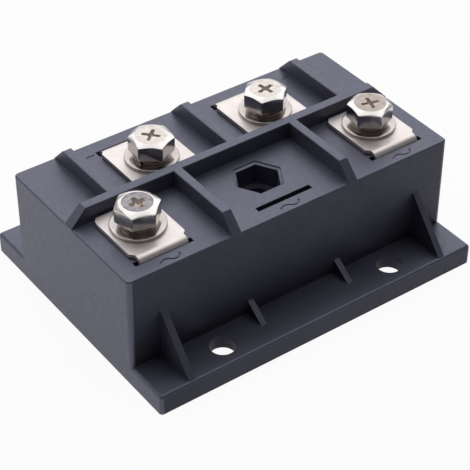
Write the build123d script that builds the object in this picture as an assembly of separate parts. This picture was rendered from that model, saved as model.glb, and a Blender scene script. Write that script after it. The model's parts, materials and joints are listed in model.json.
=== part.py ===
from build123d import *
import os
from math import cos, radians, sqrt, tan

# Single-phase bridge rectifier module with screw terminals, in millimetres.
# X runs along the module, Y across it towards the two DC terminals, Z is up.
# The origin is the centre of the copper face that lies on the heatsink.

# Terminal positions: three at the front, two at the back, half a pitch in between
terminal_pitch = 34.4
end_to_terminal = 12.85
row_spacing = 20.2
row_to_face = 15.1
length = 2 * (terminal_pitch + end_to_terminal)
body_depth = row_spacing + 2 * row_to_face

# Mounting holes, which set how far the flanges reach
mount_spacing_x = 51.0
mount_spacing_y = 62.0
mount_hole_diameter = 6.5
mount_to_edge = 6.2

# Moulded housing
base_proud = 0.2
flange_thickness = 5.5
body_height = 25.7
deck_thickness = 2.8
wall = 2.5
end_wall = 3.0
body_corner_radius = 1.2
cavity_corner_radius = 1.0
flange_edge_radius = 0.9
deck_edge_chamfer = 0.25
flange_top = base_proud + flange_thickness
deck_z = flange_top + body_height
cavity_top = deck_z - deck_thickness
face_y = body_depth / 2
end_x = length / 2
flange_y = mount_spacing_y / 2 + mount_to_edge

# Hollows in the underside of the flanges, one round each mounting hole
relief_depth = 1.9
relief_length = 12.6
relief_to_wall = 0.3
relief_to_edge = 1.5

# Ribs that wall the terminals off from each other
rib_height = 4.4
long_rib_width = 2.6
cross_rib_width = 2.4
rib_draft = 2.0
rib_end_run = 4.2
rib_nose_radius = 1.0
rib_edge_radius = 0.3
rib_root = 1.0

# Gussets between the long walls and the flanges
big_gusset_x = 38.0
big_gusset_width = 1.8
big_gusset_rise = 13.7
big_gusset_to_edge = 0.7
big_gusset_reach = flange_y - face_y - big_gusset_to_edge
small_gusset_x = 13.2
small_gusset_width = 1.6
small_gusset_rise = 3.9
small_gusset_reach = 5.6
gusset_root = 0.5

# Copper base, in a recess in the underside of the housing
base_plate_thickness = 3.0
base_ledge = 1.4
base_clearance = 0.2
base_corner_radius = 1.5

# Insulating substrates, with copper bonded on both sides
foil_thickness = 0.3
ceramic_thickness = 0.63
substrate_gap = 3.0
substrate_margin = 3.0
foil_margin = 1.0
pad_gap = 1.5
foil_z = base_plate_thickness
ceramic_z = foil_z + foil_thickness
pad_z = ceramic_z + ceramic_thickness
chip_z = pad_z + foil_thickness

# Diode chips and the copper clips soldered over them
chip_size = 9.0
chip_thickness = 0.4
clip_thickness = 0.8
clip_width = 6.0
clip_foot = 4.0
clip_rise = 3.6
clip_slope = 1.6
chip_top = chip_z + chip_thickness
chip_margin = 2.0
chip_gap = 1.0
clip_margin = 1.0
plus_lane_y = -7.0
minus_lane_y = 4.0

# Terminals: one folded strip each, from the solder foot up through the deck
strip_thickness = 1.0
strip_bend = 0.8
tab_lift = 0.2
tab_to_rib = 0.7
tab_corner_radius = 2.0
shoulder_inset = 2.25
front_neck_width = 13.3
front_shoulder = 1.0
back_neck_width = 17.0
back_shoulder = 0.65
leg_width = 8.0
neck_depth = 4.0
foot_length = 7.5
slot_clearance = 0.1
front_slot_overrun = 1.3
back_slot_overrun = 0.8
back_slot_play = 0.6
slot_inset = 4.05
front_tab_width = front_neck_width + 2 * front_shoulder
back_tab_width = back_neck_width + 2 * back_shoulder
bend_overhang = strip_bend - sqrt(strip_bend**2 - (strip_bend - tab_lift) ** 2)
front_slot_width = strip_thickness + 2 * slot_clearance + bend_overhang
back_slot_width = front_slot_width + back_slot_play
tab_bottom = deck_z + tab_lift
tab_top = tab_bottom + strip_thickness

# Terminal screws, size M6, with a split spring washer and a flat washer each
thread_diameter = 6.0
screw_length = 12.0
shank_clearance = 0.05
head_across_flats = 10.0
head_height = 4.5
head_chamfer = 0.8
head_crown_diameter = 8.2
tip_chamfer = 0.8
washer_hole = 6.4
flat_washer_diameter = 13.6
flat_washer_thickness = 0.8
spring_washer_diameter = 9.2
spring_washer_thickness = 1.4
spring_washer_split = 1.0
spring_split_slant = 20.0
flat_washer_z = tab_top
spring_washer_z = flat_washer_z + flat_washer_thickness
head_z = spring_washer_z + spring_washer_thickness
screw_tip_z = head_z - screw_length

# Captive nuts in hexagonal pockets
nut_across_flats = 10.0
nut_height = 5.0
nut_clearance = 0.1
nut_play = 1.0
pocket_lip = 0.3
pocket_ledge = 0.7
pocket_ledge_drop = 0.3
pocket_bore_diameter = 7.2
screw_tip_clearance = 1.5
boss_wall = 2.2
boss_floor = 1.6
pocket_across_flats = nut_across_flats + 2 * nut_clearance
pocket_floor = deck_z - nut_height - nut_play
bore_bottom = screw_tip_z - screw_tip_clearance
boss_bottom = bore_bottom - boss_floor

# Casting fills: soft gel over the chips, hard resin over the gel
gel_depth = 7.0
resin_gap = 1.4
gel_top = base_plate_thickness + gel_depth
resin_top = boss_bottom - resin_gap

# Each fitted terminal: its row, its place along the module, how far its leg stands in from the
# outer edge of its slot, and the directions at which its screw and spring washer were left
terminals = {
    "ac_left": dict(back=False, x=-terminal_pitch, leg_gap=slot_clearance, turn=44.0, split=60.0),
    "ac_right": dict(back=False, x=terminal_pitch, leg_gap=slot_clearance, turn=21.0, split=75.0),
    "minus": dict(
        back=True, x=-terminal_pitch / 2, leg_gap=slot_clearance + back_slot_play, turn=24.0, split=204.0
    ),
    "plus": dict(back=True, x=terminal_pitch / 2, leg_gap=slot_clearance, turn=44.0, split=70.0),
}
open_position_x = 0.0

ON_BASE = (Align.CENTER, Align.CENTER, Align.MIN)
parts = {}


def box_between(low, high):
    """A block from its lowest corner to its highest."""
    size = [b - a for a, b in zip(low, high)]
    return Pos(*low) * Box(*size, align=(Align.MIN, Align.MIN, Align.MIN))


def facing(back):
    """The frame of a terminal row: the back row is the front one turned by half a turn."""
    return Rot(0, 0, 180) if back else Rot(0, 0, 0)


def row_place(terminal):
    """Where a terminal's own frame lies: its screw on the axis, its leg towards -Y."""
    side = 1 if terminal["back"] else -1
    return Pos(terminal["x"], side * row_spacing / 2, 0) * facing(terminal["back"])


def slot_size(back):
    """Length and width of a terminal slot."""
    if back:
        return back_neck_width + 2 * back_slot_overrun, back_slot_width
    return front_neck_width + 2 * front_slot_overrun, front_slot_width


def rib(run, width, start_slope, end_slope, nose=0.0):
    """A rib along +X from the origin, drafted in width, its free ends sloped down to the deck.

    A nose radius rounds the far end's upper corner.
    """
    outline = Polyline(
        (0, -rib_root),
        (run, -rib_root),
        (run, 0),
        (run - end_slope, rib_height),
        (start_slope, rib_height),
        (0, 0),
        close=True,
    )
    side = make_face(outline)
    if nose:
        side = fillet(side.vertices().group_by(Axis.Y)[-1].sort_by(Axis.X)[-1], nose)
    foot = width / 2 + (rib_height + rib_root) * tan(radians(rib_draft))
    taper = Polyline(
        (-foot, -rib_root),
        (foot, -rib_root),
        (width / 2, rib_height),
        (-width / 2, rib_height),
        close=True,
    )
    section = make_face(taper)
    section = fillet(section.vertices().group_by(Axis.Y)[-1], rib_edge_radius)
    slab = extrude(Plane.XZ * side, amount=foot, both=True)
    return slab & extrude(Plane.YZ * section, amount=run)


def gusset(x, width, rise, reach, side):
    """A thin triangular web between a long wall and its flange."""
    outline = Polyline(
        (face_y - gusset_root, flange_top - gusset_root),
        (face_y + reach, flange_top - gusset_root),
        (face_y + reach, flange_top),
        (face_y, flange_top + rise),
        (face_y - gusset_root, flange_top + rise),
        close=True,
    )
    web = extrude(Plane.YZ * make_face(outline), amount=width / 2, both=True)
    return Pos(x, 0, 0) * facing(side < 0) * web


def flange_relief():
    """The hollow under a flange that thins it round a mounting hole."""
    half_length = relief_length / 2
    return box_between(
        (-half_length, face_y + relief_to_wall, base_proud),
        (half_length, flange_y - relief_to_edge, base_proud + relief_depth),
    )


def pocket_cut():
    """The space of one nut pocket: a hexagon with a sloped ledge at its mouth, over a bore."""
    hexagon = RegularPolygon(pocket_across_flats / 2, 6, major_radius=False)
    mouth = RegularPolygon(pocket_across_flats / 2 + pocket_ledge, 6, major_radius=False)
    ledge_z = deck_z - pocket_lip
    body = extrude(Pos(0, 0, pocket_floor) * hexagon, amount=deck_z - pocket_floor)
    flare = loft([Pos(0, 0, ledge_z - pocket_ledge_drop) * hexagon, Pos(0, 0, ledge_z) * mouth])
    lip = extrude(Pos(0, 0, ledge_z) * mouth, amount=pocket_lip)
    round_hole = Circle(pocket_bore_diameter / 2)
    bore = extrude(Pos(0, 0, bore_bottom) * round_hole, amount=pocket_floor - bore_bottom)
    return body + flare + lip + bore


def housing():
    """The moulding: body and flanges in one, hollow from below, with ribs, gussets, slots and pockets."""
    body = extrude(
        Pos(0, 0, base_proud) * RectangleRounded(length, body_depth, body_corner_radius),
        amount=deck_z - base_proud,
    )
    body = chamfer(body.faces().sort_by(Axis.Z)[-1].edges(), deck_edge_chamfer)
    flange = box_between((-end_x, -flange_y, base_proud), (end_x, flange_y, flange_top))
    upper_edges = flange.faces().sort_by(Axis.Z)[-1].edges()
    flange = fillet(flange.edges().filter_by(Axis.Z) + upper_edges, flange_edge_radius)
    shell = body + flange

    long_rib = Pos(-end_x, 0, deck_z) * rib(length, long_rib_width, rib_end_run, rib_end_run)
    shell += long_rib
    cross_rib = rib(face_y, cross_rib_width, 0, rib_end_run)
    for x in (-terminal_pitch / 2, terminal_pitch / 2):
        shell += Pos(x, 0, deck_z) * Rot(0, 0, -90) * cross_rib
    back_rib = rib(face_y, cross_rib_width, 0, rib_end_run, rib_nose_radius)
    for x in (-terminal_pitch, 0, terminal_pitch):
        shell += Pos(x, 0, deck_z) * Rot(0, 0, 90) * back_rib

    for side in (-1, 1):
        for x in (-big_gusset_x, big_gusset_x):
            shell += gusset(x, big_gusset_width, big_gusset_rise, big_gusset_reach, side)
        for x in (-small_gusset_x, small_gusset_x):
            shell += gusset(x, small_gusset_width, small_gusset_rise, small_gusset_reach, side)

    shell -= cavity(base_proud, cavity_top)
    shell -= extrude(
        Pos(0, 0, base_proud) * base_outline(base_clearance),
        amount=base_plate_thickness - base_proud,
    )

    boss_outline = RegularPolygon(pocket_across_flats / 2 + boss_wall, 6, major_radius=False)
    boss = extrude(Pos(0, 0, boss_bottom) * boss_outline, amount=cavity_top - boss_bottom)
    pocket = pocket_cut()
    positions = [(t["x"], t["back"]) for t in terminals.values()] + [(open_position_x, False)]
    for x, back in positions:
        place = row_place(dict(x=x, back=back))
        shell = shell + place * boss - place * pocket
        slot_length, slot_width = slot_size(back)
        slot = box_between(
            (-slot_length / 2, slot_inset - row_to_face, cavity_top),
            (slot_length / 2, slot_inset + slot_width - row_to_face, deck_z),
        )
        shell -= place * slot

    hole = Cylinder(mount_hole_diameter / 2, flange_top, align=ON_BASE)
    relief = flange_relief()
    for x in (-mount_spacing_x / 2, mount_spacing_x / 2):
        for side in (-1, 1):
            shell -= Pos(x, side * mount_spacing_y / 2, 0) * hole
            shell -= Pos(x, 0, 0) * facing(side < 0) * relief
    return shell


def cavity(low, high):
    """The room inside the walls between two heights."""
    outline = RectangleRounded(length - 2 * end_wall, body_depth - 2 * wall, cavity_corner_radius)
    return extrude(Pos(0, 0, low) * outline, amount=high - low)


def base_outline(clearance):
    """The outline of the base recess, which is a ledge wider than the cavity, or of the plate in it."""
    across = length - 2 * end_wall + 2 * base_ledge
    deep = body_depth - 2 * wall + 2 * base_ledge
    shrink = 2 * (base_clearance - clearance)
    return RectangleRounded(across - shrink, deep - shrink, base_corner_radius)


def pad_limits(outer):
    """Where an upper pad begins and ends along X, on the right-hand tile."""
    between = (terminal_pitch / 2 + terminal_pitch) / 2
    if outer:
        return between + pad_gap / 2, end_x - end_wall - substrate_margin - foil_margin
    return substrate_gap / 2 + foil_margin, between - pad_gap / 2


def mirrored(low, high, side):
    """The same stretch of X, on the left-hand side if side is -1."""
    return (low, high) if side > 0 else (-high, -low)


def layer(low, high, shrink, bottom, top):
    """A flat layer of a tile from low to high along X, and nearly as deep as the cavity."""
    half_depth = face_y - wall - substrate_margin - shrink
    return box_between((low, -half_depth, bottom), (high, half_depth, top))


def ceramic(side):
    """The insulating tile itself."""
    low, high = mirrored(substrate_gap / 2, end_x - end_wall - substrate_margin, side)
    return layer(low, high, 0, ceramic_z, pad_z)


def lower_foil(side):
    """The copper foil under a tile, which is soldered to the base plate."""
    low, high = mirrored(pad_limits(False)[0], pad_limits(True)[1], side)
    return layer(low, high, foil_margin, foil_z, ceramic_z)


def pad(side, outer):
    """An upper copper pad: the outer one joins an AC terminal, the inner one a DC terminal."""
    low, high = mirrored(*pad_limits(outer), side)
    return layer(low, high, foil_margin, pad_z, chip_z)


def chip(x, y):
    """One diode chip, soldered to its pad with the cathode down."""
    return Pos(x, y, chip_z) * Box(chip_size, chip_size, chip_thickness, align=ON_BASE)


def clip(chip_x, landing_x, y):
    """A copper strap from a chip's upper face, over what lies between, down to a pad."""
    step = 1 if landing_x > chip_x else -1
    foot = step * clip_foot / 2
    slope = step * clip_slope
    bridge_z = chip_top + clip_rise + clip_thickness / 2
    path = Polyline(
        (chip_x - foot, chip_top + clip_thickness / 2),
        (chip_x + foot, chip_top + clip_thickness / 2),
        (chip_x + foot + slope, bridge_z),
        (landing_x - foot - slope, bridge_z),
        (landing_x - foot, chip_z + clip_thickness / 2),
        (landing_x + foot, chip_z + clip_thickness / 2),
    )
    strap = Plane.XZ * trace(path, clip_thickness)
    return Pos(0, y, 0) * extrude(strap, amount=clip_width / 2, both=True)


def diodes():
    """Each diode by the two nodes it joins: where its chip lies, and where its clip lands."""
    inner_low, inner_high = pad_limits(False)
    outer_low, outer_high = pad_limits(True)
    first_chip = inner_low + chip_margin + chip_size / 2
    second_chip = first_chip + chip_size + chip_gap
    outer_chip = (outer_low + outer_high) / 2
    outer_landing = outer_low + clip_margin + clip_foot / 2
    return {
        "ac_left_to_plus": (first_chip, -outer_landing, plus_lane_y),
        "ac_right_to_plus": (second_chip, outer_landing, plus_lane_y),
        "minus_to_ac_left": (-outer_chip, -(inner_high - clip_margin - clip_foot / 2), minus_lane_y),
        "minus_to_ac_right": (outer_chip, -(inner_low + clip_margin + clip_foot / 2), minus_lane_y),
    }


def terminal_strip(back, leg_gap):
    """A terminal in its own frame: tab over the nut, bend, leg down through the slot, solder foot."""
    tab_width = back_tab_width if back else front_tab_width
    neck_width = back_neck_width if back else front_neck_width
    leg_y = slot_inset + leg_gap + strip_thickness / 2 - row_to_face
    rib_face = row_spacing / 2 - long_rib_width / 2 - rib_height * tan(radians(rib_draft))
    tab_end = rib_face - tab_to_rib
    bend_radius = strip_bend + strip_thickness / 2
    path = FilletPolyline(
        (tab_end, tab_bottom + strip_thickness / 2),
        (leg_y, tab_bottom + strip_thickness / 2),
        (leg_y, chip_z + strip_thickness / 2),
        (leg_y + bend_radius + foot_length, chip_z + strip_thickness / 2),
        radius=bend_radius,
    )
    profile = Plane.YZ * trace(path, strip_thickness)

    shoulder_y = slot_inset + shoulder_inset - row_to_face
    plate = Pos(0, (shoulder_y + tab_end) / 2) * Rectangle(tab_width, tab_end - shoulder_y)
    plate = fillet(plate.vertices().group_by(Axis.Y)[-1], tab_corner_radius)
    plate = chamfer(plate.vertices().group_by(Axis.Y)[0], (tab_width - neck_width) / 2)
    neck_end = leg_y - strip_thickness
    neck = Pos(0, (neck_end + tab_end) / 2) * Rectangle(neck_width, tab_end - neck_end)
    narrow_z = cavity_top - neck_depth
    upper = extrude(profile, amount=tab_width / 2, both=True)
    upper &= extrude(Pos(0, 0, narrow_z) * (plate + neck), amount=tab_top - narrow_z)
    lower = extrude(profile, amount=leg_width / 2, both=True)
    lower &= box_between((-leg_width / 2, neck_end, chip_z), (leg_width / 2, tab_end, narrow_z))
    hole = Cylinder(washer_hole / 2, 2 * strip_thickness)
    return upper + lower - Pos(0, 0, tab_bottom) * hole


def captive_nut():
    """A hexagon nut, drawn up against the tab by its screw."""
    outline = RegularPolygon(nut_across_flats / 2, 6, major_radius=False) - Circle(thread_diameter / 2)
    return extrude(Pos(0, 0, tab_bottom - nut_height) * outline, amount=nut_height)


def flat_washer():
    """A plain washer on the tab."""
    ring = Circle(flat_washer_diameter / 2) - Circle(washer_hole / 2)
    return extrude(Pos(0, 0, flat_washer_z) * ring, amount=flat_washer_thickness)


def spring_washer(split):
    """A spring washer pressed flat, with its slanted split turned to the given direction."""
    ring = Circle(spring_washer_diameter / 2) - Circle(washer_hole / 2)
    body = extrude(ring, amount=spring_washer_thickness)
    saw = Box(spring_washer_diameter, spring_washer_split, 3 * spring_washer_thickness)
    place = Pos(spring_washer_diameter / 2, 0, spring_washer_thickness / 2)
    cut = body - place * Rot(spring_split_slant, 0, 0) * saw
    return Pos(0, 0, spring_washer_z) * Rot(0, 0, split) * cut


def terminal_screw(turn):
    """A hexagon-head screw: the head's crown chamfered, and a plain shank where the thread runs."""
    corner = head_across_flats / 2 / cos(radians(30))
    outline = Polyline(
        (0, 0),
        (corner, 0),
        (corner, head_height - head_chamfer),
        (head_crown_diameter / 2, head_height),
        (0, head_height),
        close=True,
    )
    turned = revolve(Plane.XZ * make_face(outline), Axis.Z)
    prism = extrude(RegularPolygon(corner, 6), amount=head_height)
    shank = Cylinder(thread_diameter / 2 - shank_clearance, screw_length, align=ON_BASE)
    shank = chamfer(shank.edges().sort_by(Axis.Z)[0], tip_chamfer)
    return Pos(0, 0, head_z) * Rot(0, 0, turn) * (turned & prism) + Pos(0, 0, screw_tip_z) * shank


def group(solids):
    """Alike fasteners, kept as separate solids of one piece."""
    return Compound(children=list(solids))


parts["housing"] = housing()
parts["base_plate"] = extrude(base_outline(0), amount=base_plate_thickness)

for word, side in (("left", -1), ("right", 1)):
    parts[f"ceramic_{word}"] = ceramic(side)
    parts[f"lower_foil_{word}"] = lower_foil(side)
    parts[f"pad_ac_{word}"] = pad(side, True)
parts["pad_minus"] = pad(-1, False)
parts["pad_plus"] = pad(1, False)

for name, (chip_x, landing_x, lane_y) in diodes().items():
    parts[f"diode_chip_{name}"] = chip(chip_x, lane_y)
    parts[f"clip_{name}"] = clip(chip_x, landing_x, lane_y)

for name, terminal in terminals.items():
    parts[f"terminal_{name}"] = row_place(terminal) * terminal_strip(terminal["back"], terminal["leg_gap"])

inner = [solid for name, solid in parts.items() if name not in ("housing", "base_plate")]
parts["gel_fill"] = cavity(base_plate_thickness, gel_top) - inner
legs = [parts[f"terminal_{name}"] for name in terminals]
parts["resin_fill"] = cavity(gel_top, resin_top) - legs

places = [(row_place(terminal), terminal) for terminal in terminals.values()]
parts["captive_nuts"] = group(place * captive_nut() for place, _ in places)
parts["flat_washers"] = group(place * flat_washer() for place, _ in places)
parts["spring_washers"] = group(
    Pos(*place.position) * spring_washer(terminal["split"]) for place, terminal in places
)
parts["terminal_screws"] = group(
    Pos(*place.position) * terminal_screw(terminal["turn"]) for place, terminal in places
)

os.makedirs("parts", exist_ok=True)
for name, solid in parts.items():
    export_step(solid, f"parts/{name}.step")
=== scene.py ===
"""The looks of a single-phase bridge rectifier module, built around its CAD frame."""

import json
import math

import bmesh
import bpy
from mathutils import Matrix, Vector


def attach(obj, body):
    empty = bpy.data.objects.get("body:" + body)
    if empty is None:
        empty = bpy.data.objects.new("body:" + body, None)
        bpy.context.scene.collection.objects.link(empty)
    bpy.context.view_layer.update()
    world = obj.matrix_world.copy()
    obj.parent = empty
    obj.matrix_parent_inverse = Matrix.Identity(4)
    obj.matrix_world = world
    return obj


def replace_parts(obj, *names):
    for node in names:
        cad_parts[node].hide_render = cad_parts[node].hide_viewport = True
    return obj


MM = 0.001

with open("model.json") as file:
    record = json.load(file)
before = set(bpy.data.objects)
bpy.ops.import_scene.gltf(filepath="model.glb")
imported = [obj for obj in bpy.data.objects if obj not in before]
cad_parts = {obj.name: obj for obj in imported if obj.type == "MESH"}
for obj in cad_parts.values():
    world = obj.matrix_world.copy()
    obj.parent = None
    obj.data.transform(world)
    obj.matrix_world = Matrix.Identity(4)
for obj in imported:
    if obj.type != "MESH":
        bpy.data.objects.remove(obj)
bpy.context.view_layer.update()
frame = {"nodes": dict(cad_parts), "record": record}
nodes = frame["nodes"]


# Shader helpers

NOISE_LOW = 0.3  # a noise value lies mostly between these two
NOISE_HIGH = 0.7
BEVEL_SAMPLES = 6


def new_material(name):
    """An empty node material with its output and a Principled shader."""
    made = bpy.data.materials.new(name)
    made.use_nodes = True
    tree = made.node_tree
    tree.nodes.clear()
    output = tree.nodes.new("ShaderNodeOutputMaterial")
    shader = tree.nodes.new("ShaderNodeBsdfPrincipled")
    tree.links.new(shader.outputs[0], output.inputs["Surface"])
    return made, tree, shader


def noise(tree, scale, detail, stretch=(1, 1, 1)):
    """A noise value over the object's own coordinates, its scale counted per metre."""
    place = tree.nodes.new("ShaderNodeTexCoord")
    mapping = tree.nodes.new("ShaderNodeMapping")
    mapping.inputs["Scale"].default_value = stretch
    texture = tree.nodes.new("ShaderNodeTexNoise")
    texture.inputs["Scale"].default_value = scale
    texture.inputs["Detail"].default_value = detail
    tree.links.new(place.outputs["Object"], mapping.inputs["Vector"])
    tree.links.new(mapping.outputs["Vector"], texture.inputs["Vector"])
    return texture.outputs["Fac"]


def spread(tree, value, low, high):
    """Maps a noise value onto low to high."""
    node = tree.nodes.new("ShaderNodeMapRange")
    node.inputs["From Min"].default_value = NOISE_LOW
    node.inputs["From Max"].default_value = NOISE_HIGH
    node.inputs["To Min"].default_value = low
    node.inputs["To Max"].default_value = high
    tree.links.new(value, node.inputs["Value"])
    return node.outputs["Result"]


def two_tone(tree, value, first, second):
    """A colour between two, by a noise value."""
    ramp = tree.nodes.new("ShaderNodeValToRGB")
    stops = ramp.color_ramp.elements
    stops[0].position = NOISE_LOW
    stops[0].color = (*first, 1)
    stops[1].position = NOISE_HIGH
    stops[1].color = (*second, 1)
    tree.links.new(value, ramp.inputs["Fac"])
    return ramp.outputs["Color"]


def relief(tree, shader, height, depth, edge_radius, strength):
    """Surface relief of a depth in metres, over edges that a small radius softens."""
    bump = tree.nodes.new("ShaderNodeBump")
    bump.inputs["Strength"].default_value = strength
    bump.inputs["Distance"].default_value = depth
    tree.links.new(height, bump.inputs["Height"])
    bevel = tree.nodes.new("ShaderNodeBevel")
    bevel.samples = BEVEL_SAMPLES
    bevel.inputs["Radius"].default_value = edge_radius
    tree.links.new(bevel.outputs["Normal"], bump.inputs["Normal"])
    tree.links.new(bump.outputs["Normal"], shader.inputs["Normal"])


# Materials. Colours are linear, and noise scales are per metre.

PLASTIC_TONES = ((0.030, 0.030, 0.046), (0.043, 0.043, 0.065))
PLASTIC_IOR = 1.66
PLASTIC_TINT = (0.75, 0.76, 1.0, 1.0)
PLASTIC_ROUGHNESS = (0.42, 0.52)
PLASTIC_MOTTLE_SCALE = 90
PLASTIC_GLOSS_SCALE = 700
PLASTIC_GRAIN_SCALE = 2200
PLASTIC_GRAIN_DEPTH = 0.05 * MM
PLASTIC_GRAIN_STRENGTH = 0.5
PLASTIC_EDGE = 0.15 * MM
DECK_GLOSS = 1.0
# The side walls' lower gloss is painted shade: it darkens them as if the floor they mirror lay in
# shadow
WALL_PAINTED_SHADE_GLOSS = 0.28

NICKEL_CLOUD_SCALE = 260
NICKEL_GLOSS_SCALE = 420
NICKEL_GRAIN_SCALE = 1500
NICKEL_GRAIN_DEPTH = 0.02 * MM
NICKEL_GRAIN_STRENGTH = 0.25
NICKEL_EDGE = 0.12 * MM
ROLLED_GRAIN = (1, 6, 1)

# Stamped discs of the screws' crowns: dark and light colour, and the range of roughness
DISC_CLOUD_SCALE = 800
DISC_TONES = {
    "violet": ((0.18, 0.165, 0.18), (0.33, 0.31, 0.325), (0.28, 0.42)),
    "beige": ((0.30, 0.255, 0.235), (0.42, 0.365, 0.34), (0.30, 0.42)),
    "pale": ((0.48, 0.435, 0.41), (0.62, 0.575, 0.55), (0.26, 0.36)),
}

PLAIN_SCALE = 400
PLAIN_ROUGHNESS_RANGE = 0.08
PLAIN_GRAIN_DEPTH = 0.01 * MM
PLAIN_GRAIN_STRENGTH = 0.3
PLAIN_EDGE = 0.1 * MM


def moulded_plastic(name, gloss):
    """Dark blue-grey moulding: a fine spark-eroded grain, and a faint mottle from the filler."""
    made, tree, shader = new_material(name)
    colour = two_tone(tree, noise(tree, PLASTIC_MOTTLE_SCALE, 4), *PLASTIC_TONES)
    tree.links.new(colour, shader.inputs["Base Color"])
    shader.inputs["Specular IOR Level"].default_value = gloss
    shader.inputs["IOR"].default_value = PLASTIC_IOR
    shader.inputs["Specular Tint"].default_value = PLASTIC_TINT
    roughness = spread(tree, noise(tree, PLASTIC_GLOSS_SCALE, 3), *PLASTIC_ROUGHNESS)
    tree.links.new(roughness, shader.inputs["Roughness"])
    grain = noise(tree, PLASTIC_GRAIN_SCALE, 3)
    relief(tree, shader, grain, PLASTIC_GRAIN_DEPTH, PLASTIC_EDGE, PLASTIC_GRAIN_STRENGTH)
    return made


def nickel(name, dark, light, roughness, grain=(1, 1, 1), cloud=NICKEL_CLOUD_SCALE):
    """Nickel or zinc plate: clouds in its colour and gloss, and a slight grain."""
    made, tree, shader = new_material(name)
    tree.links.new(two_tone(tree, noise(tree, cloud, 3), dark, light), shader.inputs["Base Color"])
    shader.inputs["Metallic"].default_value = 1.0
    gloss = spread(tree, noise(tree, NICKEL_GLOSS_SCALE, 3), *roughness)
    tree.links.new(gloss, shader.inputs["Roughness"])
    height = noise(tree, NICKEL_GRAIN_SCALE, 3, grain)
    relief(tree, shader, height, NICKEL_GRAIN_DEPTH, NICKEL_EDGE, NICKEL_GRAIN_STRENGTH)
    return made


def plain_solid(name, dark, light, metallic, rough, scale=PLAIN_SCALE):
    """A plain finish for the pieces inside the housing and for the cooling face."""
    made, tree, shader = new_material(name)
    tree.links.new(two_tone(tree, noise(tree, scale, 3), dark, light), shader.inputs["Base Color"])
    shader.inputs["Metallic"].default_value = metallic
    gloss = spread(tree, noise(tree, scale * 2, 2), rough, rough + PLAIN_ROUGHNESS_RANGE)
    tree.links.new(gloss, shader.inputs["Roughness"])
    height = noise(tree, scale * 4, 2)
    relief(tree, shader, height, PLAIN_GRAIN_DEPTH, PLAIN_EDGE, PLAIN_GRAIN_STRENGTH)
    return made


plastic = moulded_plastic("moulded_plastic", DECK_GLOSS)
# A duller copy of the same plastic, as painted shade for the side walls
wall_plastic_painted_shade = moulded_plastic("wall_plastic_painted_shade", WALL_PAINTED_SHADE_GLOSS)
strip_nickel = nickel(
    "strip_nickel", (0.65, 0.60, 0.59), (0.71, 0.655, 0.645), (0.42, 0.50), ROLLED_GRAIN
)
screw_nickel = nickel("screw_nickel", (0.56, 0.54, 0.525), (0.73, 0.71, 0.69), (0.10, 0.20))
# Painted shade: darker than the screws' nickel, standing for the shaded head and spring washer that
# the flat washer mirrors
washer_nickel = nickel("washer_nickel", (0.40, 0.368, 0.352), (0.53, 0.492, 0.475), (0.18, 0.28))
# Painted shade: the dark brown tone stands for the shaded flat washer and head underside that the
# spring washer mirrors
spring_nickel = nickel("spring_nickel", (0.38, 0.32, 0.29), (0.50, 0.43, 0.39), (0.12, 0.20))
# Painted reflection: the cross recess takes a warm brown tone that stands for the light seen inside
# it, where there would be shade
recess_painted_reflection = nickel("recess_painted_reflection", (0.50, 0.43, 0.38), (0.70, 0.62, 0.56), (0.35, 0.5))
disc_nickel = {
    tone: nickel("disc_" + tone, dark, light, roughness, cloud=DISC_CLOUD_SCALE)
    for tone, (dark, light, roughness) in DISC_TONES.items()
}
copper = plain_solid("copper", (0.62, 0.31, 0.19), (0.74, 0.42, 0.28), 1.0, 0.34, 260)
clip_copper = plain_solid("clip_copper", (0.66, 0.34, 0.22), (0.76, 0.45, 0.31), 1.0, 0.28)
alumina = plain_solid("alumina", (0.80, 0.80, 0.77), (0.88, 0.88, 0.86), 0.0, 0.5)
silicon = plain_solid("silicon", (0.10, 0.11, 0.13), (0.16, 0.17, 0.20), 0.0, 0.15)
gel = plain_solid("gel", (0.62, 0.64, 0.64), (0.72, 0.74, 0.74), 0.0, 0.12, 60)
resin = plain_solid("resin", (0.016, 0.016, 0.018), (0.03, 0.03, 0.034), 0.0, 0.3, 80)
zinc = nickel("zinc", (0.55, 0.56, 0.58), (0.68, 0.69, 0.70), (0.3, 0.42))

# The finish of each material slot in the record
FINISHES = {
    "housing": plastic,
    "copper_base": copper,
    "gel": gel,
    "resin": resin,
    "alumina": alumina,
    "bonded_copper": copper,
    "silicon": silicon,
    "clip_copper": clip_copper,
    "terminal_nickel": strip_nickel,
    "nut_steel": zinc,
    "washer_nickel": washer_nickel,
    "spring_nickel": spring_nickel,
    "screw_nickel": screw_nickel,
}

for part in frame["record"]["subparts"]:
    node = nodes[part["node"]]
    node.data.materials.clear()
    node.data.materials.append(FINISHES[part["material_slot"]])


# Mesh helpers. Edges above a piece's SHARP angle, in degrees, stay sharp.

def add_object(name, data):
    """An object for some data, linked to the scene."""
    obj = bpy.data.objects.new(name, data)
    bpy.context.scene.collection.objects.link(obj)
    return obj


def shade(bm, sharp):
    """Smooth shading, but for edges sharper than an angle in degrees."""
    for face in bm.faces:
        face.smooth = True
    for edge in bm.edges:
        edge.smooth = edge.calc_face_angle(math.pi) < math.radians(sharp)


def mesh_piece(name, bm, finishes, sharp):
    """Makes a shaded object with its finishes from a bmesh, which it frees."""
    bmesh.ops.recalc_face_normals(bm, faces=bm.faces)
    shade(bm, sharp)
    mesh = bpy.data.meshes.new(name)
    bm.to_mesh(mesh)
    bm.free()
    for finish in finishes:
        mesh.materials.append(finish)
    return add_object(name, mesh)


def skin(bm, rows, closed=False):
    """Faces between rows of points, each a loop; the end rows are capped, or joined if closed."""
    loops = [[bm.verts.new(point) for point in row] for row in rows]
    pairs = list(zip(loops, loops[1:]))
    if closed:
        pairs.append((loops[-1], loops[0]))
    for lower, upper in pairs:
        for i in range(len(lower)):
            j = (i + 1) % len(lower)
            bm.faces.new((lower[i], lower[j], upper[j], upper[i]))
    if not closed:
        bm.faces.new(list(reversed(loops[0])))
        bm.faces.new(loops[-1])


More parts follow.
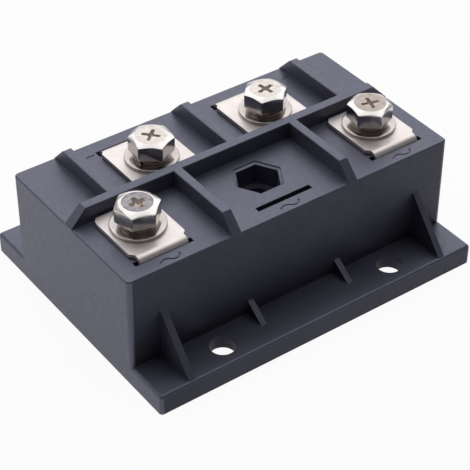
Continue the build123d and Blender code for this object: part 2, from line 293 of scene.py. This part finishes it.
def carve(obj, cutters, sharp):
    """Cuts pieces out of a mesh, keeps the result as plain mesh data and shades it again."""
    for cutter in cutters:
        cutter.hide_render = True
        step = obj.modifiers.new(cutter.name, "BOOLEAN")
        step.operation = "DIFFERENCE"
        step.solver = "EXACT"
        step.object = cutter
    graph = bpy.context.evaluated_depsgraph_get()
    carved = bpy.data.meshes.new_from_object(obj.evaluated_get(graph))
    obj.modifiers.clear()
    obj.data = carved
    for cutter in cutters:
        bpy.data.objects.remove(cutter)
    bm = bmesh.new()
    bm.from_mesh(carved)
    shade(bm, sharp)
    bm.to_mesh(carved)
    bm.free()


def polar(radius, turn, z):
    """A point in metres, from a radius and a height in millimetres and an angle in radians."""
    return radius * math.cos(turn) * MM, radius * math.sin(turn) * MM, z * MM


# Fasteners. Lengths in millimetres, angles in degrees.

SECTOR = 60
HALF_SECTOR = 30
# Where a head's points lie in each sixth of a turn, closer at its corners
SECTOR_STEPS = (0, 0.8, 1.6, 2.4, 5, 10, 15, 20, 25, 30, 35, 40, 45, 50, 55, 57.6, 58.4, 59.2)
HEAD_FLATS = 10.0
HEAD_CORNER_ROUND = 0.45
HEAD_CROWN = 4.1
HEAD_SLOPE = 0.478
HEAD_BASE_Z = 34.8
HEAD_TOP_Z = 39.3
HEAD_BEARING = 4.4
HEAD_UNDER_CHAMFER = 0.18
HEAD_CROWN_ROUND = 0.06
HEAD_CROWN_DROP = 0.02
HEAD_SHARP = 32

# Loops up over the head's shoulder: share of the way from crown to side, then how far in and down.
# The first one keeps the shading of the six sides upright.
SHOULDER_LOOPS = (
    (1.0, 0.0, 0.22), (1.0, 0.0, 0.12), (1.0, 0.03, 0.03), (0.9, 0.02, 0.02), (0.35, 0.0, 0.01),
)

# Loops from the stamped disc's edge to its middle: shares of its radius and depth
DISC_LOOPS = (
    (1.0, 0.0), (0.98, 0.25), (0.95, 0.75), (0.92, 1.0), (0.6, 1.0), (0.3, 0.95), (0.05, 0.95),
)
# The disc's finish goes this far past its edge and this far down
DISC_MARGIN = 0.01
DISC_REACH_DOWN = 0.5

# Loops of the cross recess downwards: depth, then shares of its arms' reach and width
CROSS_LOOPS = ((-0.3, 1.06, 1.05), (0.0, 1.0, 1.0), (0.8, 0.74, 0.70), (1.3, 0.44, 0.36))
CROSS_FLARE = 0.55
ARM_TIP_LENGTH = 0.15
ARM_TIP_WIDTH = 0.6

# Places in a screw's list of finishes
DISC_FINISH = 1
# The recess's place holds its painted reflection
RECESS_PAINTED_REFLECTION = 2

SCREW_TIP_Z = 22.8
THREAD_MAJOR = 2.93
THREAD_MINOR = 2.50
THREAD_PITCH = 1.0
THREAD_TOP_Z = 34.0
THREAD_STEPS = 8
# Height of the thread over a turn: a triangle this steep, less this much, kept between 0 and 1
THREAD_FLANK = 2.4
THREAD_ROOT = 0.6
RUN_OUT = 0.1
TIP_LENGTH = 0.8
TIP_RADIUS = 2.1

WASHER_HOLE = 3.2
WASHER_SHARP = 40
EDGE_STEPS = 3
FLAT_WASHER_Z = 32.6
FLAT_WASHER_THICKNESS = 0.8
FLAT_WASHER_OUTER = 6.8
FLAT_WASHER_LOWER_EDGE = 0.06
FLAT_WASHER_UPPER_EDGE = 0.2
FLAT_WASHER_STEPS = 120
SPRING_WASHER_Z = 33.4
SPRING_WASHER_THICKNESS = 1.4
SPRING_WASHER_OUTER = 4.6
SPRING_WASHER_EDGE = 0.16
SPRING_WASHER_STEPS = 110
SPRING_SPLIT = 0.5
SPRING_SLANT = 20.0

# For each fitted terminal: the place of its screw; the turns of head, washer's split and cross;
# radius, depth and tone of the stamped disc; reach and half width of the cross's arms
FITTED = {
    "ac_left": dict(
        x=-34.4, y=-10.1, turn=44, split=60, cross=0,
        disc=(3.75, 0.16, "violet"), arms=(2.25, 0.68),
    ),
    "ac_right": dict(
        x=34.4, y=-10.1, turn=21, split=75, cross=73,
        disc=(4.0, 0.05, "beige"), arms=(2.4, 0.46),
    ),
    "minus": dict(
        x=-17.2, y=10.1, turn=24, split=204, cross=42,
        disc=(4.0, 0.06, "pale"), arms=(2.45, 0.48),
    ),
    "plus": dict(
        x=17.2, y=10.1, turn=44, split=70, cross=9.5,
        disc=(4.0, 0.05, "pale"), arms=(2.4, 0.52),
    ),
}


def on_axis(fit, turn):
    """The place of a terminal's screw, turned by an angle in degrees."""
    place = Matrix.Translation((fit["x"] * MM, fit["y"] * MM, 0))
    return place @ Matrix.Rotation(math.radians(turn), 4, "Z")


def hexagon_radius(angle):
    """Distance from the axis to the side of the head, its corners slightly rounded."""
    flat = HEAD_FLATS / 2
    half = math.radians(HALF_SECTOR)
    from_corner = math.radians(abs((angle + HALF_SECTOR) % SECTOR - HALF_SECTOR))
    fillet_centre = (flat - HEAD_CORNER_ROUND) / math.cos(half)
    fillet_end = math.atan2(
        HEAD_CORNER_ROUND * math.sin(half), fillet_centre + HEAD_CORNER_ROUND * math.cos(half)
    )
    if from_corner < fillet_end:
        across = fillet_centre * math.sin(from_corner)
        along = fillet_centre * math.cos(from_corner)
        return along + math.sqrt(HEAD_CORNER_ROUND**2 - across**2)
    return flat / math.cos(half - from_corner)


def screw_rows(disc_radius, dish):
    """Loops of points from the tip of a screw to the middle of its head, about its own axis."""
    angles = [sector + step for sector in range(0, 360, SECTOR) for step in SECTOR_STEPS]
    rows = []

    def add_loop(point_at, *values):
        """Adds the loop whose radius and height a function gives at each angle."""
        row = []
        for angle in angles:
            radius, z = point_at(angle, *values)
            row.append(polar(radius, math.radians(angle), z))
        rows.append(row)

    def thread(angle, z):
        """The rolled thread, which tapers off at the tip."""
        phase = ((z - SCREW_TIP_Z) / THREAD_PITCH - angle / 360) % 1.0
        crest = min(1.0, max(0.0, THREAD_FLANK * (1 - abs(2 * phase - 1)) - THREAD_ROOT))
        radius = THREAD_MINOR + (THREAD_MAJOR - THREAD_MINOR) * crest
        tip = TIP_RADIUS + (z - SCREW_TIP_Z) / TIP_LENGTH * (THREAD_MAJOR - TIP_RADIUS)
        return min(radius, tip), z

    def circle(angle, radius, z):
        """A plain round."""
        return radius, z

    def side(angle, inward, z):
        """The head's six sides, or a loop that runs along inside them."""
        return hexagon_radius(angle) - inward, z

    def shoulder(angle, share, inward, down):
        """The slope between the round crown and the six sides."""
        out = HEAD_CROWN + (hexagon_radius(angle) - HEAD_CROWN) * share
        fall = max(0.0, out - HEAD_CROWN) * HEAD_SLOPE
        return out - inward, HEAD_TOP_Z - fall - down

    steps = int((THREAD_TOP_Z - SCREW_TIP_Z) / THREAD_PITCH * THREAD_STEPS)
    for i in range(steps + 1):
        add_loop(thread, SCREW_TIP_Z + (THREAD_TOP_Z - SCREW_TIP_Z) * i / steps)
    add_loop(circle, THREAD_MAJOR, THREAD_TOP_Z + RUN_OUT)
    add_loop(circle, THREAD_MAJOR, HEAD_BASE_Z)
    add_loop(circle, HEAD_BEARING, HEAD_BASE_Z)
    add_loop(side, HEAD_UNDER_CHAMFER, HEAD_BASE_Z)
    add_loop(side, 0.0, HEAD_BASE_Z + HEAD_UNDER_CHAMFER)
    for share, inward, down in SHOULDER_LOOPS:
        add_loop(shoulder, share, inward, down)
    add_loop(circle, HEAD_CROWN, HEAD_TOP_Z - HEAD_CROWN_DROP)
    add_loop(circle, HEAD_CROWN - HEAD_CROWN_ROUND, HEAD_TOP_Z)
    for share, depth in DISC_LOOPS:
        add_loop(circle, disc_radius * share, HEAD_TOP_Z - dish * depth)
    return rows


def cross_cutter(name, place, reach, half_width, finishes):
    """The tapered cross of a driver recess, wider where its arms meet."""
    flare = half_width * CROSS_FLARE
    rows = []
    for depth, reach_share, width_share in CROSS_LOOPS:
        side, root, tip = half_width * width_share, flare * width_share, reach * reach_share
        arm = (
            (side + root, -side), (tip - ARM_TIP_LENGTH, -side), (tip, -side * ARM_TIP_WIDTH),
            (tip, side * ARM_TIP_WIDTH), (tip - ARM_TIP_LENGTH, side), (side + root, side),
        )
        row = []
        for quarter in range(4):
            turn = Matrix.Rotation(math.radians(90 * quarter), 2)
            for point in arm:
                turned = turn @ Vector(point)
                row.append((turned.x * MM, turned.y * MM, (HEAD_TOP_Z - depth) * MM))
        rows.append(row)
    bm = bmesh.new()
    skin(bm, rows)
    for face in bm.faces:
        # The recess faces take the painted reflection
        face.material_index = RECESS_PAINTED_REFLECTION
    cutter = mesh_piece(name, bm, finishes, HEAD_SHARP)
    cutter.matrix_world = place
    return cutter


def screw(name, fit):
    """A hexagon-head screw with a rolled thread, a stamped disc on its crown and a cross recess."""
    disc_radius, dish, tone = fit["disc"]
    finishes = (screw_nickel, disc_nickel[tone], recess_painted_reflection)
    bm = bmesh.new()
    skin(bm, screw_rows(disc_radius, dish))
    disc_edge = (disc_radius + DISC_MARGIN) * MM
    disc_low = (HEAD_TOP_Z - DISC_REACH_DOWN) * MM
    for face in bm.faces:
        if all(v.co.z > disc_low and v.co.xy.length < disc_edge for v in face.verts):
            face.material_index = DISC_FINISH
    obj = mesh_piece("screw_" + name, bm, finishes, HEAD_SHARP)
    obj.matrix_world = on_axis(fit, fit["turn"])
    bpy.context.view_layer.update()
    cross = cross_cutter("cross_" + name, on_axis(fit, fit["cross"]), *fit["arms"], finishes)
    carve(obj, [cross], HEAD_SHARP)
    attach(obj, "root")
    return obj


def ring_section(inner, outer, low_z, high_z, round_low, round_high):
    """Section of a ring as (radius, z) points, its edges rounded by two radii."""
    points = []
    corners = (
        (inner, low_z, round_low, 180), (outer, low_z, round_low, 270),
        (outer, high_z, round_high, 0), (inner, high_z, round_high, 90),
    )
    for radius, z, edge, start in corners:
        middle_radius = radius + (edge if radius == inner else -edge)
        middle_z = z + (edge if z == low_z else -edge)
        for step in range(EDGE_STEPS + 1):
            angle = math.radians(start + 90 * step / EDGE_STEPS)
            points.append((
                middle_radius + edge * math.cos(angle),
                middle_z + edge * math.sin(angle),
            ))
    return points


def flat_washer(name, fit):
    """A stamped washer: its upper edges rounded by the punch, its lower ones nearly sharp."""
    section = ring_section(
        WASHER_HOLE, FLAT_WASHER_OUTER, FLAT_WASHER_Z, FLAT_WASHER_Z + FLAT_WASHER_THICKNESS,
        FLAT_WASHER_LOWER_EDGE, FLAT_WASHER_UPPER_EDGE,
    )
    rows = []
    for i in range(FLAT_WASHER_STEPS):
        turn = math.radians(360 * i / FLAT_WASHER_STEPS)
        rows.append([polar(radius, turn, z) for radius, z in section])
    bm = bmesh.new()
    skin(bm, rows, closed=True)
    obj = mesh_piece("flat_washer_" + name, bm, [washer_nickel], WASHER_SHARP)
    obj.location = (fit["x"] * MM, fit["y"] * MM, 0)
    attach(obj, "root")
    return obj


def spring_washer(name, fit):
    """A spring washer pressed flat, wound from square wire, with slanted cut ends."""
    middle = SPRING_WASHER_Z + SPRING_WASHER_THICKNESS / 2
    section = ring_section(
        WASHER_HOLE, SPRING_WASHER_OUTER, SPRING_WASHER_Z,
        SPRING_WASHER_Z + SPRING_WASHER_THICKNESS, SPRING_WASHER_EDGE, SPRING_WASHER_EDGE,
    )
    lean = math.tan(math.radians(SPRING_SLANT))
    half_gap = SPRING_SPLIT / 2 / math.cos(math.radians(SPRING_SLANT))
    rows = []
    for i in range(SPRING_WASHER_STEPS + 1):
        row = []
        for radius, z in section:
            shift = (z - middle) * lean
            start = (half_gap - shift) / radius
            end = 2 * math.pi - (half_gap + shift) / radius
            row.append(polar(radius, start + (end - start) * i / SPRING_WASHER_STEPS, z))
        rows.append(row)
    bm = bmesh.new()
    skin(bm, rows)
    obj = mesh_piece("spring_washer_" + name, bm, [spring_nickel], WASHER_SHARP)
    obj.matrix_world = on_axis(fit, fit["split"])
    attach(obj, "root")
    return obj


for name, fit in FITTED.items():
    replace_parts(screw(name, fit), "terminal_screws")
    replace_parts(flat_washer(name, fit), "flat_washers")
    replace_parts(spring_washer(name, fit), "spring_washers")


# The housing, with its marks cut into the deck. Lengths in millimetres, angles in degrees.

DECK_Z = 31.4
MARK_DEPTH = 0.22
MARK_WIDTH = 0.36
CUT_CLEARANCE = 0.5
WAVE_STEPS = 4

# An alternating-current mark: a long middle stroke and short hooked ends
WAVE = (
    (-2.95, -0.35), (-2.70, 0.0), (-2.15, 0.25), (-1.45, 0.50), (-0.65, 0.40), (0.05, -0.08),
    (0.80, -0.50), (1.60, -0.58), (2.25, -0.32), (2.70, 0.12), (2.90, 0.75),
)
WAVE_PLACES = {
    "mark_ac_left": (-34.45, -23.3),
    "mark_ac_right": (34.12, -23.25),
    "mark_open": (-0.35, -23.3),
}
MINUS_LINE = ((-29.6, 20.5), (-27.2, 20.5))
PLUS_LINE_ALONG = ((30.4, 20.4), (32.8, 20.4))
PLUS_LINE_ACROSS = ((31.6, 19.2), (31.6, 21.6))
PLUS_WIDTH = 0.30
PLUS_DEPTH = 0.12

HOUSING_SHARP = 30
# Points closer than this, in metres, become one, and faces within this angle of flat are joined
WELD_DISTANCE = 1e-6
FLAT_ENOUGH = 0.5

# Faces given the duller copy of the plastic, a painted shade that darkens them as if they mirrored
# a shadowed floor: upright ones beyond WALL_Y and within WALL_X of the middle, which
# are the outer side walls, the gussets' sides and the mounting holes
WALL_X = 44.0
WALL_Y = 25.0
UPRIGHT_NORMAL_Z = 0.3
WALL_PAINTED_SHADE_FINISH = 1


def stroke_cutter(name, points, width=MARK_WIDTH, depth=MARK_DEPTH):
    """A ribbon along points of the deck, as wide and deep as a mark's stroke, to cut it in."""
    left, right = [], []
    for i, point in enumerate(points):
        before = Vector(points[max(0, i - 1)])
        after = Vector(points[min(len(points) - 1, i + 1)])
        along = (after - before).normalized()
        across = Vector((-along.y, along.x)) * width / 2
        left.append(Vector(point) + across)
        right.append(Vector(point) - across)
    outline = left + right[::-1]
    rows = [
        [(p.x * MM, p.y * MM, z * MM) for p in outline]
        for z in (DECK_Z - depth, DECK_Z + CUT_CLEARANCE)
    ]
    bm = bmesh.new()
    skin(bm, rows)
    bmesh.ops.triangulate(bm, faces=[face for face in bm.faces if len(face.verts) > 4])
    return mesh_piece(name, bm, [], HOUSING_SHARP)


def wave_points(x, y):
    """Points of a smooth curve through an alternating-current mark's corners, at a place."""
    corners = [Vector(corner) for corner in WAVE]
    last = len(corners) - 1
    points = []
    for i in range(last):
        before, start = corners[max(0, i - 1)], corners[i]
        end, after = corners[i + 1], corners[min(last, i + 2)]
        slope_in, slope_out = (end - before) / 2, (after - start) / 2
        for step in range(WAVE_STEPS):
            t = step / WAVE_STEPS
            spot = (
                (2 * t**3 - 3 * t**2 + 1) * start + (t**3 - 2 * t**2 + t) * slope_in
                + (3 * t**2 - 2 * t**3) * end + (t**3 - t**2) * slope_out
            )
            points.append((x + spot.x, y + spot.y))
    points.append((x + WAVE[-1][0], y + WAVE[-1][1]))
    return points


def marked_housing():
    """The moulding itself, joined into one skin, with the terminal marks engraved."""
    source = nodes["housing"]
    bm = bmesh.new()
    bm.from_mesh(source.data)
    bm.transform(source.matrix_world)
    bmesh.ops.remove_doubles(bm, verts=bm.verts, dist=WELD_DISTANCE)
    bmesh.ops.dissolve_limit(
        bm, angle_limit=math.radians(FLAT_ENOUGH), verts=bm.verts, edges=bm.edges
    )
    obj = mesh_piece("housing_moulding", bm, [plastic], HOUSING_SHARP)
    cutters = [stroke_cutter(name, wave_points(*place)) for name, place in WAVE_PLACES.items()]
    cutters.append(stroke_cutter("mark_minus", MINUS_LINE))
    cutters.append(stroke_cutter("mark_plus_along", PLUS_LINE_ALONG, PLUS_WIDTH, PLUS_DEPTH))
    cutters.append(stroke_cutter("mark_plus_across", PLUS_LINE_ACROSS, PLUS_WIDTH, PLUS_DEPTH))
    carve(obj, cutters, HOUSING_SHARP)
    # The side walls, gusset sides and mounting holes take the duller copy: painted shade
    obj.data.materials.append(wall_plastic_painted_shade)
    for face in obj.data.polygons:
        upright = abs(face.normal.z) < UPRIGHT_NORMAL_Z
        if upright and abs(face.center.y) > WALL_Y * MM and abs(face.center.x) < WALL_X * MM:
            face.material_index = WALL_PAINTED_SHADE_FINISH
    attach(obj, "root")
    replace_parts(obj, "housing")


marked_housing()


# Floor, light and camera. Lengths in metres, angles in degrees.

# Shares of white in what rays see: SEEN is for the camera and through glass
FLOOR_SEEN = 0.945
FLOOR_IN_GLOSS = 0.75
WORLD_SEEN = 1.0
WORLD_IN_GLOSS = 0.15

FLOOR_REACH = 4.0
FLOOR_TONES = ((0.86, 0.86, 0.86), (0.90, 0.90, 0.90))
FLOOR_TONE_SCALE = 8
FLOOR_ROUGHNESS = 0.8

# The surround brightens towards one side. The ramp goes from how far a ray points that way, 1 at
# most, to the surround's strength.
WORLD_BRIGHT_SIDE = (0.4, 0.92, 0.0)
WORLD_RAMP_FROM = (-0.35, 0.6)
WORLD_RAMP_TO = (0.05, 0.47)

LAMP_DISTANCE = 1.0
LAMPS = {
    "back_light": dict(direction=(0.42, 0.58, 1.05), width=1.5, height=1.9, watts=10.2),
    "left_light": dict(direction=(-1.0, 0.45, 0.35), width=0.8, height=0.6, watts=1.0),
}

# The camera, as fitted to the photograph
CAMERA_AZIMUTH = -36.0479
CAMERA_ELEVATION = 38.7159
CAMERA_ROLL = 0.1575
CAMERA_DISTANCE = 0.409647
CAMERA_LENS = 124.951  # in millimetres
CAMERA_NEAR = 0.01
CAMERA_FAR = 20.0
AIM_HEIGHT = 0.014
AIM_RIGHT = 0.00042
AIM_UP = -0.00555


def white_share(tree, seen, in_gloss):
    """The share of white in what a ray sees: to the camera and through glass, and in gloss."""
    path = tree.nodes.new("ShaderNodeLightPath")
    shares = {"Is Camera Ray": seen, "Is Transmission Ray": seen, "Is Glossy Ray": in_gloss}
    total = None
    for ray, share in shares.items():
        part = tree.nodes.new("ShaderNodeMath")
        part.operation = "MULTIPLY_ADD"
        part.use_clamp = True
        part.inputs[1].default_value = share
        part.inputs[2].default_value = 0.0
        tree.links.new(path.outputs[ray], part.inputs[0])
        if total:
            tree.links.new(total, part.inputs[2])
        total = part.outputs[0]
    return total


def floor():
    """A plain pale floor, which shows nearly white and keeps a faint shadow."""
    corners = [
        (x * FLOOR_REACH, y * FLOOR_REACH, 0) for x, y in ((-1, -1), (1, -1), (1, 1), (-1, 1))
    ]
    mesh = bpy.data.meshes.new("floor")
    mesh.from_pydata(corners, [], [(0, 1, 2, 3)])
    obj = add_object("floor", mesh)
    made, tree, shader = new_material("floor")
    tone = two_tone(tree, noise(tree, FLOOR_TONE_SCALE, 2), *FLOOR_TONES)
    tree.links.new(tone, shader.inputs["Base Color"])
    shader.inputs["Roughness"].default_value = FLOOR_ROUGHNESS
    white = tree.nodes.new("ShaderNodeEmission")
    mix = tree.nodes.new("ShaderNodeMixShader")
    tree.links.new(white_share(tree, FLOOR_SEEN, FLOOR_IN_GLOSS), mix.inputs[0])
    tree.links.new(shader.outputs[0], mix.inputs[1])
    tree.links.new(white.outputs[0], mix.inputs[2])
    output = next(n for n in tree.nodes if n.type == "OUTPUT_MATERIAL")
    tree.links.new(mix.outputs[0], output.inputs["Surface"])
    mesh.materials.append(made)


def studio_world():
    """A dim surround that is brighter towards the back right, and white where it is seen."""
    world = bpy.data.worlds.new("studio")
    bpy.context.scene.world = world
    world.use_nodes = True
    tree = world.node_tree
    tree.nodes.clear()
    output = tree.nodes.new("ShaderNodeOutputWorld")
    place = tree.nodes.new("ShaderNodeTexCoord")
    towards = tree.nodes.new("ShaderNodeVectorMath")
    towards.operation = "DOT_PRODUCT"
    towards.inputs[1].default_value = WORLD_BRIGHT_SIDE
    tree.links.new(place.outputs["Generated"], towards.inputs[0])
    ramp = tree.nodes.new("ShaderNodeMapRange")
    ramp.interpolation_type = "SMOOTHSTEP"
    ramp.inputs["From Min"].default_value, ramp.inputs["From Max"].default_value = WORLD_RAMP_FROM
    ramp.inputs["To Min"].default_value, ramp.inputs["To Max"].default_value = WORLD_RAMP_TO
    tree.links.new(towards.outputs["Value"], ramp.inputs["Value"])
    surround = tree.nodes.new("ShaderNodeBackground")
    tree.links.new(ramp.outputs["Result"], surround.inputs["Strength"])
    white = tree.nodes.new("ShaderNodeBackground")
    white.inputs["Strength"].default_value = 1.0
    mix = tree.nodes.new("ShaderNodeMixShader")
    tree.links.new(white_share(tree, WORLD_SEEN, WORLD_IN_GLOSS), mix.inputs[0])
    tree.links.new(surround.outputs[0], mix.inputs[1])
    tree.links.new(white.outputs[0], mix.inputs[2])
    tree.links.new(mix.outputs[0], output.inputs["Surface"])


def softbox(name, direction, width, height, watts):
    """A rectangular area light that faces the object from a direction."""
    light = bpy.data.lights.new(name, "AREA")
    light.shape = "RECTANGLE"
    light.size = width
    light.size_y = height
    light.energy = watts
    obj = add_object(name, light)
    towards = Vector(direction).normalized()
    obj.location = towards * LAMP_DISTANCE
    obj.rotation_mode = "QUATERNION"
    obj.rotation_quaternion = (-towards).to_track_quat("-Z", "Y")
    obj.visible_camera = False


def photo_camera():
    """The camera of the photograph."""
    azimuth = math.radians(CAMERA_AZIMUTH)
    elevation = math.radians(CAMERA_ELEVATION)
    roll = math.radians(CAMERA_ROLL)
    back = Vector((
        math.sin(azimuth) * math.cos(elevation),
        -math.cos(azimuth) * math.cos(elevation),
        math.sin(elevation),
    ))
    level = (-back).cross(Vector((0, 0, 1))).normalized()
    upright = level.cross(-back)
    right = math.cos(roll) * level + math.sin(roll) * upright
    up = -math.sin(roll) * level + math.cos(roll) * upright
    data = bpy.data.cameras.new("camera")
    data.lens = CAMERA_LENS
    data.clip_start = CAMERA_NEAR
    data.clip_end = CAMERA_FAR
    camera = add_object("camera", data)
    camera.matrix_world = Matrix((right, up, back)).transposed().to_4x4()
    aim = Vector((0, 0, AIM_HEIGHT))
    camera.location = aim + back * CAMERA_DISTANCE + right * AIM_RIGHT + up * AIM_UP
    bpy.context.scene.camera = camera


floor()
studio_world()
for name, lamp in LAMPS.items():
    softbox(name, **lamp)
photo_camera()
bpy.context.scene.view_settings.view_transform = "Standard"
